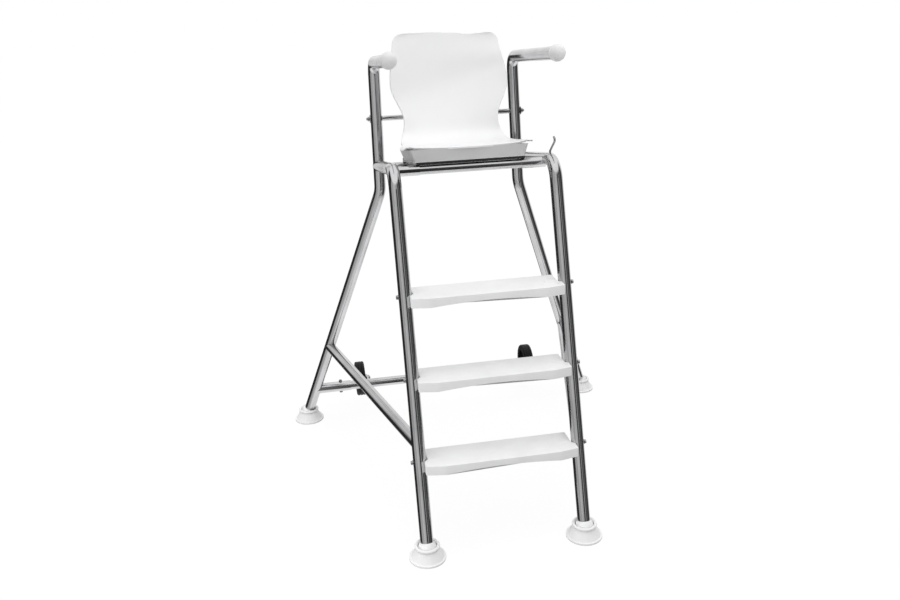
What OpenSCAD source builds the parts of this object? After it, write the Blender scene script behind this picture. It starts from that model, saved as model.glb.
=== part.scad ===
/* [Frame tubes] */
// Outer diameter of the bent frame tubes
tube_d = 43; // [40:0.5:45]
// Wall of the bent frame tubes
tube_wall = 2; // [1.5:0.25:2.5]
// Centreline radius of the two top front bends
bend_r = 75; // [66:1:84]
// Centreline radius of the arm bends
arm_bend_r = 46; // [40:1:54]
// Centreline radius of the bends above the rear legs
leg_bend_r = 100; // [80:1:120]
// Outer diameter of the side braces
brace_d = 40; // [32:0.5:42]

/* [Frame layout] */
// Centre distance of the front stiles and of the side tubes
stile_gauge = 536; // [510:2:570]
// Centre distance of the posts at the arm bends
arm_gauge = 524; // [510:2:536]
// Lean of the front stiles from upright, in degrees
stile_lean = 17.7; // [14:0.1:20]
// Rise of the side tubes towards the front, in degrees
seat_frame_tilt = 9.1; // [4:0.1:12]
// Lean of the posts towards the rear, in degrees
post_lean = 6.2; // [3:0.1:9]
// Rise of the arms towards the front, in degrees
arm_rise = 4.6; // [0:0.1:8]
// Height of the side tubes at the posts
seat_frame_h = 1133; // [1050:1:1200]
// Distance from the stiles on the floor to the posts at seat frame height
frame_run = 879; // [820:1:930]
// Height of the arm bends
arm_h = 1507; // [1460:1:1560]
// Reach of the arms forward of the posts, to the knob centres
arm_reach = 549; // [480:1:600]
// Drop of the bends above the rear legs below the seat frame height
leg_bend_drop = 93; // [80:1:120]
// Centre distance of the rear feet
rear_spread = 1238; // [1100:2:1320]
// Distance from the posts back to the rear feet
rear_run = 218; // [150:1:280]
// Height of the side braces
brace_h = 361; // [330:1:400]

/* [Cross tubes] */
// Outer diameter of the upper sleeve stubs
top_stub_d = 34; // [33:0.5:38]
// Outer diameter of the upper cross tubes
top_bar_d = 30; // [28:0.5:30.5]
// Distance of the stub mouths from the middle, upper cross tubes
top_stub_x = 174; // [150:1:175]
// Distance of the front cross tube behind the stiles
front_cross_back = 79; // [76:1:110]
// Drop of the front cross tube below the side tubes' axes
front_cross_drop = 10; // [2:0.5:11]
// Distance of the rear cross tube in front of the posts
rear_cross_front = 79; // [60:1:100]
// Drop of the rear cross tube below the side tubes' axes
rear_cross_drop = 5; // [0:0.5:8]
// Outer diameter of the lower sleeve stubs
low_stub_d = 43; // [40:0.5:44]
// Outer diameter of the lower rear bar
low_bar_d = 38; // [34:0.5:38.5]
// Distance of the stub mouths from the middle, lower bar
low_stub_x = 429; // [405:1:450]
// Height of the lower rear bar
low_bar_h = 150; // [120:1:170]
// Diameter of the bolts through the stubs
cross_bolt_d = 8; // [6:1:10]

/* [Back tie rod] */
// Height of the tie rod behind the backrest
tie_h = 1307; // [1270:1:1340]
// Diameter of the spacer tube on the tie rod
tie_sleeve_d = 19; // [16:0.5:22]
// Diameter of the threaded rod
tie_rod_d = 10; // [8:1:12]

/* [Steps] */
// Height of the lowest step bolt
step_first_h = 308; // [290:1:320]
// Height between steps
step_pitch = 257; // [235:1:270]
// Depth of a step, front to back
step_depth = 120; // [105:1:130]
// Front edge of a step ahead of the stile axis
step_front = 56; // [50:1:64]
// Height of a step's skirt
step_skirt = 31; // [27:0.5:36]
// Top of a step above its bolts
step_top = 13; // [12:0.5:16]
// Wall of the step moulding
step_wall = 4; // [3:0.25:5]
// Rise of the arch under a step
step_arch = 7; // [3:0.5:9]
// Width of the end blocks of a step
step_block = 62; // [50:1:80]
// Setback of an end block's outer edge from the front of the step
step_taper = 12; // [4:0.5:14]
// Diameter of the step bolts
step_bolt_d = 8; // [6:1:10]

/* [Seat] */
// Width of the front lip of the seat
seat_lip_w = 457; // [430:1:470]
// Setback of the lip's ends from its middle
lip_bow = 54; // [20:1:60]
// Width of the waist between seat and backrest
seat_waist_w = 352; // [340:2:400]
// Widest part of the backrest
back_w = 428; // [410:2:444]
// Width of the backrest at its top corners
back_top_w = 384; // [360:2:410]
// Depth of the seat pan, front lip to the bend into the backrest
pan_run = 288; // [260:1:300]
// Radius of the bend between pan and backrest
knee_r = 78; // [60:1:95]
// Lean of the backrest from upright, in degrees
back_lean = 12.8; // [8:0.1:17]
// Height of the backrest top
back_top_h = 1606; // [1560:1:1640]
// Thickness of the seat shell
shell_t = 6; // [4:0.5:8]
// Depth of the hollow across the backrest
back_hollow = 40; // [20:1:50]
// Width of the tray under the seat
tray_w = 386; // [380:2:400]
// Depth of the tray under the seat
tray_depth = 276; // [240:2:284]
// Height of the tray skirt
tray_h = 35; // [32:1:40]
// Wall of the tray
tray_wall = 4; // [3:0.25:5]
// Width of the black tubes of the seat frame
rail_w = 20; // [16:0.5:20]
// Height of the black tubes of the seat frame
rail_t = 12.5; // [12:0.5:18]
// Wall of the black tubes of the seat frame
rail_wall = 2; // [1.5:0.25:2.5]

/* [Feet and knobs] */
// Diameter of a foot on the floor
foot_d = 122; // [116:1:126]
// Diameter of the ball in a foot
foot_ball_d = 62; // [58:1:64]
// Height of the ball centre above the floor
foot_ball_h = 36; // [35:0.5:40]
// Clearance round the ball
foot_clear = 0.4; // [0.3:0.05:0.8]
// Diameter of the arm knobs
knob_d = 54; // [51:0.5:60]

/* [Wheels] */
// Wheel diameter
wheel_d = 150; // [130:1:160]
// Wheel width over the tread
wheel_w = 40; // [34:1:46]
// Distance of each wheel's middle plane from the middle of the chair
wheel_x = 381; // [360:1:390]
// Distance of the wheel axles behind the lower bar
wheel_back = 98; // [96:1:110]
// Distance of the wheel axles below the lower bar
wheel_drop = 18; // [8:1:24]
// Axle diameter
axle_d = 14; // [12:0.5:18]
// Radial play of the wheels on their axles
axle_play = 0.08; // [0.04:0.01:0.1]
// Thickness of the wheel brackets
bracket_t = 6; // [5:0.5:8]

/* [Hook] */
// Diameter of the hook wire
hook_d = 7; // [5:0.5:9]
// Reach of the hook forward of its foot
hook_reach = 50; // [40:1:65]
// Radius of the curl at the hook's end
hook_curl_r = 9; // [7:0.5:12]

/* [Hidden] */
$fn = 72;

// gap left at a welded or seated joint
seat_gap = 0.3;
// a tube's straight runs enter its bend by this much, and the bend is this much fatter
seam = 0.5;
swell = 0.04;

lean_t = tan(stile_lean);
tilt_t = tan(seat_frame_tilt);
post_t = tan(post_lean);

// the stile line and the side tube line cross here
corner_z = (seat_frame_h + tilt_t * frame_run) / (1 + lean_t * tilt_t);
corner_y = corner_z * lean_t;
post_x = stile_gauge / 2;
arm_x = arm_gauge / 2;
splay = (post_x - arm_x) / (arm_h - seat_frame_h);

// middle of the floor plan, front foot to wheel
foot_y = foot_ball_h * lean_t;
leg_end = [rear_spread / 2, frame_run + rear_run, foot_ball_h];
leg_top = post_at(seat_frame_h - leg_bend_drop);
wheel_axis_y = leg_at(low_bar_h)[1] + wheel_back;
wheel_z = low_bar_h - wheel_drop;
front_reach = foot_y - foot_d / 2;
rear_reach = max(wheel_axis_y + wheel_d / 2, leg_end[1] + foot_d / 2);
mid_y = (front_reach + rear_reach) / 2;

function unit(v) = v / norm(v);
function lerp(a, b, t) = a + (b - a) * t;
// points on the axes of the right side, by height or by depth
function stile_at(z) = [stile_gauge / 2, z * lean_t, z];
function post_at(z) = [post_x - splay * (z - seat_frame_h), frame_run + post_t * (z - seat_frame_h), z];
function side_z(y) = seat_frame_h - tilt_t * (y - frame_run);
function side_at(y) = [stile_gauge / 2, y, side_z(y)];
function leg_at(z) = lerp(leg_top, leg_end, (leg_top[2] - z) / (leg_top[2] - leg_end[2]));

front_y = corner_y + front_cross_back;
rear_y = frame_run - rear_cross_front;
arm_corner = post_at(arm_h);
arm_end = [post_x, arm_corner[1] - arm_reach, arm_h + arm_reach * tan(arm_rise)];
tail_past = 4;
tail_y = frame_run + tube_d / 2 + tail_past;

// a straight round bar between two points
module rod(p, q, d) {
  v = q - p;
  translate(p) rotate([0, acos(v[2] / norm(v)), atan2(v[1], v[0])]) cylinder(h = norm(v), d = d);
}

// a solid tube along three points with one bend, in the bend's own frame
module bent_bar(l1, l2, r, a, d) {
  translate([0, 0, -l1]) cylinder(h = l1 + seam, d = d);
  translate([r, 0, 0]) rotate([90, 0, 0]) mirror([1, 0, 0])
    rotate_extrude(angle = a) translate([r, 0]) circle(d = d + swell);
  translate([r, 0, 0]) rotate([0, a, 0]) translate([-r, 0, -seam]) cylinder(h = l2 + seam, d = d);
}

// a hollow bent tube through p and q to s, closed at neither end
module bent_tube(p, q, s, r, d, wall) {
  u = unit(q - p);
  w = unit(s - q);
  a = acos(u * w);
  t = r * tan(a / 2);
  x = unit(w - u * (u * w));
  y = cross(u, x);
  o = q - u * t;
  multmatrix([[x[0], y[0], u[0], o[0]], [x[1], y[1], u[1], o[1]], [x[2], y[2], u[2], o[2]], [0, 0, 0, 1]])
    difference() {
      bent_bar(norm(q - p) - t, norm(s - q) - t, r, a, d);
      bent_bar(norm(q - p) - t + 1, norm(s - q) - t + 1, r, a, d - 2 * wall);
    }
}

module hex_head(af, h) {
  cylinder(h = h, d = af / cos(30), $fn = 6);
}

module mirrored(side) {
  if (side < 0) mirror([1, 0, 0]) children();
  else children();
}

module placed() {
  translate([0, -mid_y, 0]) children();
}

// stile from the foot ball up, over the top bend and back along the side tube
ball_grip = 10;
ball_seat = foot_ball_d / 2 - ball_grip;

module stile(side) {
  up = unit([0, lean_t, 1]);
  low = stile_at(foot_ball_h) + up * ball_seat;
  color("silver") placed() mirrored(side) difference() {
    bent_tube(low, [post_x, corner_y, corner_z], side_at(tail_y), bend_r, tube_d, tube_wall);
    for (i = [0:2]) step_bolt_hole(i);
    if (side > 0) hook_hole();
  }
}

function step_h(i) = step_first_h + i * step_pitch;

module step_bolt_hole(i) {
  p = stile_at(step_h(i));
  translate(p - [tube_d, 0, 0]) rotate([0, 90, 0]) cylinder(h = 2 * tube_d, d = step_bolt_d + 0.6);
}

module side_tube_cut(extra) {
  rod(side_at(corner_y - 40), side_at(tail_y + 60), tube_d + 2 * extra);
}

// post welded on the side tube, bent forward into the arm
module post(side) {
  color("silver") placed() mirrored(side) difference() {
    bent_tube(post_at(seat_frame_h), arm_corner, arm_end, arm_bend_r, tube_d, tube_wall);
    side_tube_cut(seat_gap);
    tie_hole();
  }
}

module tie_hole() {
  p = post_at(tie_h);
  translate(p - [tube_d, 0, 0]) rotate([0, 90, 0]) cylinder(h = 2 * tube_d, d = tie_rod_d + 0.6);
}

// leg welded under the side tube, bent out and back to the rear foot
module leg(side) {
  down = unit(leg_end - leg_top);
  color("silver") placed() mirrored(side) difference() {
    bent_tube(post_at(seat_frame_h), leg_top, leg_end - down * ball_seat, leg_bend_r, tube_d, tube_wall);
    side_tube_cut(seat_gap);
  }
}

// straight brace from leg to stile, coped at both ends
module brace(side) {
  p = leg_at(brace_h);
  q = stile_at(brace_h);
  color("silver") placed() mirrored(side) difference() {
    rod(p, q, brace_d);
    rod(p - unit(q - p) * 40, q + unit(q - p) * 40, brace_d - 2 * tube_wall);
    rod(leg_at(brace_h - 120), leg_at(brace_h + 120), tube_d + 2 * seat_gap);
    rod(stile_at(brace_h - 120), stile_at(brace_h + 120), tube_d + 2 * seat_gap);
  }
}

// cross tubes: each sits a little under the side tubes' axes
front_cross_z = side_z(front_y) - front_cross_drop;
rear_cross_z = side_z(rear_y) - rear_cross_drop;
bar_clear = 0.15;
bar_in = 30;
low_bolt_in = 44;

// bolt heads and nuts as shares of the bolt's diameter
head_af = 1.5;
head_t = 0.7;
nut_t = 0.9;
bolt_past = 3;
bolt_play = 0.6;

// the seat frame slopes with the cross tubes that it lies on
rail_slope = atan((front_cross_z - rear_cross_z) / (rear_y - front_y));
rail_edge = 8;
rail_out = tray_w / 2 - rail_edge;
rail_mid = rail_out - rail_w / 2;
frame_bolt_d = 6;
frame_bolt_in = 6.5;
frame_bolt_x = rail_out - frame_bolt_in;
weld_end = 10;

module top_stub(side, y, z) {
  l = post_x - weld_end - top_stub_x;
  color("silver") placed() mirrored(side) difference() {
    translate([top_stub_x, y, z]) rotate([0, 90, 0]) cylinder(h = l, d = top_stub_d);
    translate([top_stub_x - 1, y, z]) rotate([0, 90, 0]) cylinder(h = l + 2, d = top_bar_d + 2 * bar_clear);
    side_tube_cut(seat_gap);
    bolt_hole(frame_bolt_x, y, z, rail_slope, frame_bolt_d);
  }
}

module bolt_hole(x, y, z, tilt, d) {
  translate([x, y, z]) rotate([-tilt, 0, 0]) translate([0, 0, -60]) cylinder(h = 120, d = d + bolt_play);
}

module top_bar(y, z) {
  color("gainsboro") placed() difference() {
    translate([-top_stub_x - bar_in, y, z]) rotate([0, 90, 0])
      cylinder(h = 2 * (top_stub_x + bar_in), d = top_bar_d);
    translate([-top_stub_x - bar_in - 1, y, z]) rotate([0, 90, 0])
      cylinder(h = 2 * (top_stub_x + bar_in) + 2, d = top_bar_d - 2 * tube_wall);
    for (s = [-1, 1]) bolt_hole(s * frame_bolt_x, y, z, rail_slope, frame_bolt_d);
  }
}

module low_stub(side) {
  p = leg_at(low_bar_h);
  color("silver") placed() mirrored(side) difference() {
    translate([low_stub_x, p[1], p[2]]) rotate([0, 90, 0]) cylinder(h = p[0] - low_stub_x, d = low_stub_d);
    translate([low_stub_x - 1, p[1], p[2]]) rotate([0, 90, 0])
      cylinder(h = p[0] - low_stub_x + 2, d = low_bar_d + 2 * bar_clear);
    rod(leg_at(low_bar_h - 100), leg_at(low_bar_h + 120), tube_d + 2 * seat_gap);
    bolt_hole(low_stub_x + low_bolt_in, p[1], p[2], 0, cross_bolt_d);
  }
}

module lower_bar() {
  p = leg_at(low_bar_h);
  reach = low_stub_x + low_bolt_in + 22;
  color("gainsboro") placed() difference() {
    translate([-reach, p[1], p[2]]) rotate([0, 90, 0]) cylinder(h = 2 * reach, d = low_bar_d);
    translate([-reach - 1, p[1], p[2]]) rotate([0, 90, 0])
      cylinder(h = 2 * reach + 2, d = low_bar_d - 2 * tube_wall);
    for (s = [-1, 1]) bolt_hole(s * (low_stub_x + low_bolt_in), p[1], p[2], 0, cross_bolt_d);
  }
}

// bolt from above through the seat frame into a stub, its end flush with the stub's underside
module frame_bolt(x, y, z) {
  top = top_stub_d / 2 + 2 * seat_gap + rail_t;
  low = top_stub_d / 2 - seat_gap;
  translate([x, y, z]) rotate([-rail_slope, 0, 0]) {
    translate([0, 0, -low]) cylinder(h = low + top + 1, d = frame_bolt_d);
    translate([0, 0, top]) hex_head(frame_bolt_d * head_af, frame_bolt_d * head_t);
  }
}

// bolt across a lower stub, its head below and its nut on top
module stub_bolt(x, y, z) {
  d = cross_bolt_d;
  r = low_stub_d / 2 + seat_gap;
  translate([x, y, z]) {
    translate([0, 0, -r - 1]) cylinder(h = 2 * r + nut_t * d + bolt_past, d = d);
    translate([0, 0, -r - head_t * d]) hex_head(d * head_af, d * head_t);
    translate([0, 0, r]) hex_head(d * head_af, d * nut_t);
  }
}

module cross_bolts() {
  p = leg_at(low_bar_h);
  color("dimgray") placed() for (s = [-1, 1]) {
    frame_bolt(s * frame_bolt_x, front_y, front_cross_z);
    frame_bolt(s * frame_bolt_x, rear_y, rear_cross_z);
    stub_bolt(s * (low_stub_x + low_bolt_in), p[1], p[2]);
  }
}

// tie rod behind the backrest
tie_p = post_at(tie_h);
tie_at = [0, tie_p[1], tie_p[2]];
tie_face = tie_p[0] - tube_d / 2;
tie_out = tie_p[0] + tube_d / 2;
washer_t = 2;

module tie_sleeve() {
  reach = tie_face - seat_gap;
  color("silver") placed() translate(tie_at) rotate([0, 90, 0]) difference() {
    translate([0, 0, -reach]) cylinder(h = 2 * reach, d = tie_sleeve_d);
    translate([0, 0, -reach - 1]) cylinder(h = 2 * reach + 2, d = tie_rod_d + 0.6);
  }
}

tie_washer_d = 3 * tie_rod_d;
tie_nut_h = 0.8 * tie_rod_d;
tie_past = 5;
tie_seat = tie_out + seat_gap;

module tie_rod() {
  reach = tie_seat + washer_t + tie_nut_h + tie_past;
  color("darkgray") placed() translate([-reach, tie_p[1], tie_p[2]]) rotate([0, 90, 0])
    cylinder(h = 2 * reach, d = tie_rod_d);
}

// broad washer and small nut on each end of the rod
module tie_nuts() {
  color("dimgray") placed() translate(tie_at) for (s = [-1, 1]) mirrored(s) rotate([0, 90, 0])
    difference() {
      union() {
        translate([0, 0, tie_seat]) cylinder(h = washer_t, d = tie_washer_d);
        translate([0, 0, tie_seat + 1]) hex_head(head_af * tie_rod_d, washer_t - 1 + tie_nut_h);
      }
      translate([0, 0, tie_seat - 1]) cylinder(h = washer_t + tie_nut_h + 2, d = tie_rod_d + 0.4);
    }
}

// half widths of a step between the stiles and ahead of them
step_half = stile_gauge / 2 - tube_d / 2 - 3.5;
lap_half = step_half + 12;
step_round = 7;
lap_in = 10;
boss_r = 10;
rib_n = 5;
rib_t = 3;

// side section of a step: flat top, rounded front edge, upright skirts
module step_section(inset) {
  difference() {
    translate([-step_front + inset, step_top - step_skirt])
      square([step_depth - 2 * inset, step_skirt - inset]);
    difference() {
      translate([-step_front - 1, step_top - step_round]) square([step_round + 1, step_round + 1]);
      translate([-step_front + step_round, step_top - step_round]) circle(r = step_round - inset);
    }
  }
}

// plan of a step: full width between the stiles, wider ahead of them, its ends set back
crease_x = lap_half - step_block;

module step_plan() {
  polygon([
    [-crease_x, -step_front], [crease_x, -step_front], [lap_half, step_taper - step_front],
    [lap_half, -lap_in], [step_half, -lap_in], [step_half, step_depth],
    [-step_half, step_depth], [-step_half, -lap_in], [-lap_half, -lap_in],
    [-lap_half, step_taper - step_front]]);
}

// the hollow under the tread keeps one wall's thickness inside that plan
module step_hollow() {
  a = step_half - step_wall;
  front = step_wall - step_front;
  taper = (a - crease_x) * step_taper / step_block;
  rear = step_depth - step_front - step_wall;
  translate([0, 0, step_top - step_wall - step_skirt - 20]) linear_extrude(step_skirt + 20)
    polygon([
      [-crease_x, front], [crease_x, front], [a, front + taper], [a, rear], [-a, rear], [-a, front + taper]]);
}

module step_tread(i) {
  z = step_h(i);
  arch_r = (crease_x * crease_x + step_arch * step_arch) / (2 * step_arch);
  rib_z = step_top - step_skirt + step_arch + 2;
  color("white") placed() translate([0, z * lean_t, z]) difference() {
    union() {
      difference() {
        intersection() {
          translate([-lap_half, 0, 0]) rotate([90, 0, 90]) linear_extrude(2 * lap_half) step_section(0);
          translate([0, 0, -60]) linear_extrude(120) step_plan();
        }
        step_hollow();
      }
      // ribs and bolt bosses under the tread
      for (k = [1:rib_n])
        translate([lerp(-step_half, step_half, k / (rib_n + 1)) - rib_t / 2, -step_front + 2, rib_z])
          cube([rib_t, step_depth - 4, step_top - 2 - rib_z]);
      translate([1 - step_half, -rib_t / 2, rib_z]) cube([2 * step_half - 2, rib_t, step_top - 2 - rib_z]);
      for (s = [-1, 1]) mirrored(s) translate([step_half - 46, 0, 0]) rotate([0, 90, 0])
        cylinder(h = 45, r = boss_r);
    }
    // arch under the front and rear skirts
    translate([0, 200, step_top - step_skirt + step_arch - arch_r]) rotate([90, 0, 0])
      cylinder(h = 400, r = arch_r, $fn = 360);
    // the stiles and the bolt holes
    for (s = [-1, 1]) mirrored(s) {
      rod([stile_gauge / 2, -80 * lean_t, -80], [stile_gauge / 2, 80 * lean_t, 80], tube_d + 3);
      translate([step_half - 40, 0, 0]) rotate([0, 90, 0]) cylinder(h = 60, d = step_bolt_d + 0.4);
    }
  }
}

// bolt from outside each stile into the step
module step_bolts() {
  out = stile_gauge / 2 + tube_d / 2 + seat_gap;
  color("dimgray") placed() for (i = [0:2]) for (s = [-1, 1])
    translate([0, stile_at(step_h(i))[1], step_h(i)]) mirrored(s) rotate([0, 90, 0]) {
      translate([0, 0, step_half - 38]) cylinder(h = out - step_half + 39, d = step_bolt_d);
      translate([0, 0, out]) cylinder(h = 1.6, d = 2.1 * step_bolt_d);
      translate([0, 0, out + 1]) hex_head(1.6 * step_bolt_d, 6.3);
    }
}

// under the seat a welded frame of black tubes lies on the stubs of both cross tubes
rail_t_v = rail_t / cos(rail_slope);
tray_ahead = 12;
tray_front_y = front_y - tray_ahead;
lip_ahead = 20;
lip_y = front_y - lip_ahead;
seat_bolt_d = 6;
seat_bolt_y = [tray_front_y + 50, tray_front_y + tray_depth - 30];
seat_bolt_in = 8;
tray_rib_x = [-120, -40, 40, 120];
tray_rib_h = 14;

function rail_under(y) =
  front_cross_z + (top_stub_d / 2 + seat_gap) / cos(rail_slope) - (y - front_y) * tan(rail_slope);
function rail_top(y) = rail_under(y) + rail_t_v;

// an upright block sheared to lie along the rails: a side section pushed across
module along_rails(x0, w, y0, y1, low, high) {
  a = rail_top(y0);
  b = rail_top(y1);
  translate([x0, 0, 0]) rotate([90, 0, 90]) linear_extrude(w)
    polygon([[y0, a + low], [y1, b + low], [y1, b + high], [y0, a + high]]);
}

// side rail between the two bars, an open square tube
module seat_rail(side) {
  y0 = front_y + rail_w / 2 + seat_gap;
  y1 = rear_y - rail_w / 2 - seat_gap;
  color("#202020") placed() mirrored(side) difference() {
    along_rails(rail_out - rail_w, rail_w, y0, y1, -rail_t_v, 0);
    along_rails(rail_out - rail_w + rail_wall, rail_w - 2 * rail_wall, y0 - 1, y1 + 1,
      rail_wall - rail_t_v, -rail_wall);
    for (y = seat_bolt_y) seat_bolt_hole(y);
  }
}

module seat_bolt_hole(y) {
  translate([rail_mid, y, rail_under(y)]) rotate([-rail_slope, 0, 0]) translate([0, 0, -10])
    cylinder(h = 10 + rail_t + seat_bolt_in + 2, d = seat_bolt_d + bolt_play);
}

// black bar across the chair on one cross tube, closed at its ends
module seat_bar(y, z) {
  w = rail_w / 2;
  color("#202020") placed() difference() {
    along_rails(-rail_out, 2 * rail_out, y - w, y + w, -rail_t_v, 0);
    along_rails(rail_wall - rail_out, 2 * (rail_out - rail_wall), y - w + rail_wall, y + w - rail_wall,
      rail_wall - rail_t_v, -rail_wall);
    for (s = [-1, 1]) bolt_hole(s * frame_bolt_x, y, z, rail_slope, frame_bolt_d);
  }
}

// bolts up through the rails into the tray
module seat_bolts() {
  head_h = seat_bolt_d * head_t;
  color("dimgray") placed() for (s = [-1, 1]) for (y = seat_bolt_y)
    translate([s * rail_mid, y, rail_under(y)]) rotate([-rail_slope, 0, 0]) {
      translate([0, 0, -seat_gap - head_h]) hex_head(seat_bolt_d * head_af, head_h);
      translate([0, 0, -seat_gap - 1]) cylinder(h = 1 + seat_gap + rail_t + seat_bolt_in, d = seat_bolt_d);
    }
}

// tray: shallow box under the pan, open below, its skirt rounded at the corners
module rounded_plan(w, d, r) {
  union() {
    translate([-w / 2 + r, 0]) square([w - 2 * r, d]);
    translate([-w / 2, r]) square([w, d - 2 * r]);
    for (s = [-1, 1]) for (y = [r, d - r]) translate([s * (w / 2 - r), y]) circle(r = r);
  }
}

tray_round = 5;
screw_pad_r = 8;
tray_low = rail_under(tray_front_y + tray_depth) - 10;
tray_tall = rail_top(tray_front_y) + tray_h + 10 - tray_low;

module seat_tray() {
  y0 = tray_front_y;
  y1 = tray_front_y + tray_depth;
  color("whitesmoke") placed() difference() {
    intersection() {
      translate([0, y0, tray_low]) linear_extrude(tray_tall) rounded_plan(tray_w, tray_depth, tray_round);
      along_rails(-tray_w / 2, tray_w, y0 - 1, y1 + 1, seat_gap, tray_h);
    }
    difference() {
      translate([0, y0 + tray_wall, tray_low]) linear_extrude(tray_tall)
        square_plan(tray_w - 2 * tray_wall, tray_depth - 2 * tray_wall);
      along_rails(-tray_w / 2, tray_w, y0 - 1, y1 + 1, tray_h - tray_wall, tray_h + 20);
      // screw pads and stiffening ribs
      for (s = [-1, 1]) for (y = seat_bolt_y)
        translate([s * rail_mid, y, tray_low]) cylinder(h = tray_tall, r = screw_pad_r);
      for (x = tray_rib_x) translate([x - 1.5, y0 + 1, tray_low]) cube([3, tray_depth - 2, tray_tall]);
    }
    for (x = tray_rib_x)
      along_rails(x - 2, 4, y0 + tray_wall, y1 - tray_wall, -60, tray_h - tray_wall - tray_rib_h);
    for (s = [-1, 1]) mirrored(s) for (y = seat_bolt_y) seat_bolt_hole(y);
  }
}

module square_plan(w, d) {
  translate([-w / 2, 0]) square([w, d]);
}

// seat shell: a loft along the side line of the seat, from the front lip to the top of the back
// side line: pan, knee, back; the pan lies on the tray
pan_start = [lip_y, rail_top(lip_y) + tray_h + seat_gap + shell_t / cos(rail_slope)];
pan_dir = [cos(rail_slope), -sin(rail_slope)];
knee_a = 90 - back_lean + rail_slope;
knee_len = knee_r * knee_a * PI / 180;
knee_start = pan_start + pan_dir * pan_run;
knee_mid = knee_start + [sin(rail_slope), cos(rail_slope)] * knee_r;
knee_end = knee_mid + [cos(back_lean), -sin(back_lean)] * knee_r;
back_from = pan_run + knee_len;
back_len = (back_top_h - knee_end[1]) / cos(back_lean);
shell_len = back_from + back_len;

function side_line(l) =
  l < pan_run ? pan_start + pan_dir * l :
  l < back_from ?
    let (a = (l - pan_run) / knee_r * 180 / PI - rail_slope)
      knee_mid + [sin(a), -cos(a)] * knee_r :
  knee_end + [sin(back_lean), cos(back_lean)] * (l - back_from);

function side_normal(l) =
  let (a = side_line(max(l - 0.5, 0)), b = side_line(min(l + 0.5, shell_len)), d = unit(b - a)) [-d[1], d[0]];

// smooth step between two values
function ease(a, b, t) = let (k = min(max(t, 0), 1)) a + (b - a) * k * k * (3 - 2 * k);

waist_l = back_from + 0.05 * back_len;
widest_l = back_from + 0.44 * back_len;
knee_flare = 14;
top_round = 32;
lip_round = 10;

// half width along the side line, with a rounded front and rounded top corners
function half_w(l) =
  let (
    waist = seat_waist_w / 2,
    w = l < pan_run ? ease(seat_lip_w / 2, waist + knee_flare, (l - lip_bow) / (pan_run - lip_bow)) :
      l < waist_l ? ease(waist + knee_flare, waist, (l - pan_run) / (waist_l - pan_run)) :
      l < widest_l ? ease(waist, back_w / 2, (l - waist_l) / (widest_l - waist_l)) :
      ease(back_w / 2, back_top_w / 2, (l - widest_l) / (shell_len - widest_l)),
    k = shell_len - l, f = l - lip_bow)
  k < top_round ? w - top_round + sqrt(max(top_round * top_round - (top_round - k) * (top_round - k), 0)) :
  f < lip_round ? w - lip_round + sqrt(max(lip_round * lip_round - (lip_round - f) * (lip_round - f), 0)) : w;

// the back is hollow across and its sides come forward; the pan is nearly flat
pan_hollow = 7;
hollow_from = 0.6 * pan_run;

function dish(l, u) =
  (l < widest_l ? ease(pan_hollow, back_hollow, (l - hollow_from) / (widest_l - hollow_from)) :
    ease(back_hollow, 0.55 * back_hollow, (l - widest_l) / (shell_len - widest_l))) * pow(abs(u), 2.2);

// a slow wave along the top edge of the back
function crown(l, u) =
  let (k = max(0, (l - widest_l) / (shell_len - widest_l))) k * k * (4 * cos(200 * u) - 5 * u * u);

function shell_point(i, j, n, m, t) =
  let (
    u = 2 * j / m - 1, edge = lip_bow * u * u, run = (shell_len - edge) * i / n, l = edge + run,
    q = side_line(l) + side_normal(l) * (dish(l, u) + t))
    [u * half_w(l + (lip_bow - edge) * max(0, 1 - run / pan_run)), q[0], q[1] + crown(l, u)];

shell_n = 54;
shell_m = 20;

module seat_shell() {
  n = shell_n;
  m = shell_m;
  k = (n + 1) * (m + 1);
  pts = concat(
    [for (i = [0:n]) for (j = [0:m]) shell_point(i, j, n, m, 0)],
    [for (i = [0:n]) for (j = [0:m]) shell_point(i, j, n, m, -shell_t)]);
  upper = [for (i = [0:n - 1]) for (j = [0:m - 1]) let (a = i * (m + 1) + j)
    each [[a, a + m + 1, a + 1], [a + 1, a + m + 1, a + m + 2]]];
  under = [for (f = upper) [k + f[2], k + f[1], k + f[0]]];
  left = [for (i = [0:n - 1]) let (a = i * (m + 1))
    each [[a, k + a, a + m + 1], [k + a, k + a + m + 1, a + m + 1]]];
  right = [for (i = [0:n - 1]) let (a = i * (m + 1) + m)
    each [[a, a + m + 1, k + a], [k + a, a + m + 1, k + a + m + 1]]];
  front = [for (j = [0:m - 1]) each [[j, j + 1, k + j], [k + j, j + 1, k + j + 1]]];
  rear = [for (j = [0:m - 1]) let (a = n * (m + 1) + j) each [[a, k + a, a + 1], [k + a, k + a + 1, a + 1]]];
  color("white") placed()
    polyhedron(points = pts, faces = concat(upper, under, left, right, front, rear), convexity = 6);
}

arm_dir = unit(arm_end - arm_corner);

// section of a ball knob: cut flat at the back and bored for the end of the arm tube
module knob_section() {
  back = knob_d * 0.28;
  difference() {
    circle(d = knob_d);
    translate([-knob_d, -knob_d]) square([knob_d, 2 * knob_d]);
    translate([0, -knob_d]) square([knob_d, knob_d - back]);
    translate([-1, -knob_d]) square([1 + tube_d / 2 + seat_gap, knob_d + seat_gap]);
  }
}

module knob(side) {
  color("white") placed() mirrored(side) translate(arm_end)
    rotate([0, acos(arm_dir[2]), atan2(arm_dir[1], arm_dir[0])]) rotate_extrude() knob_section();
}

foot_rim = 7;
rim_round = 1.5;
ring_r = 5.2;
ring_at = [foot_ball_d / 2 + foot_clear + ring_r, foot_ball_h + 10];

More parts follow.
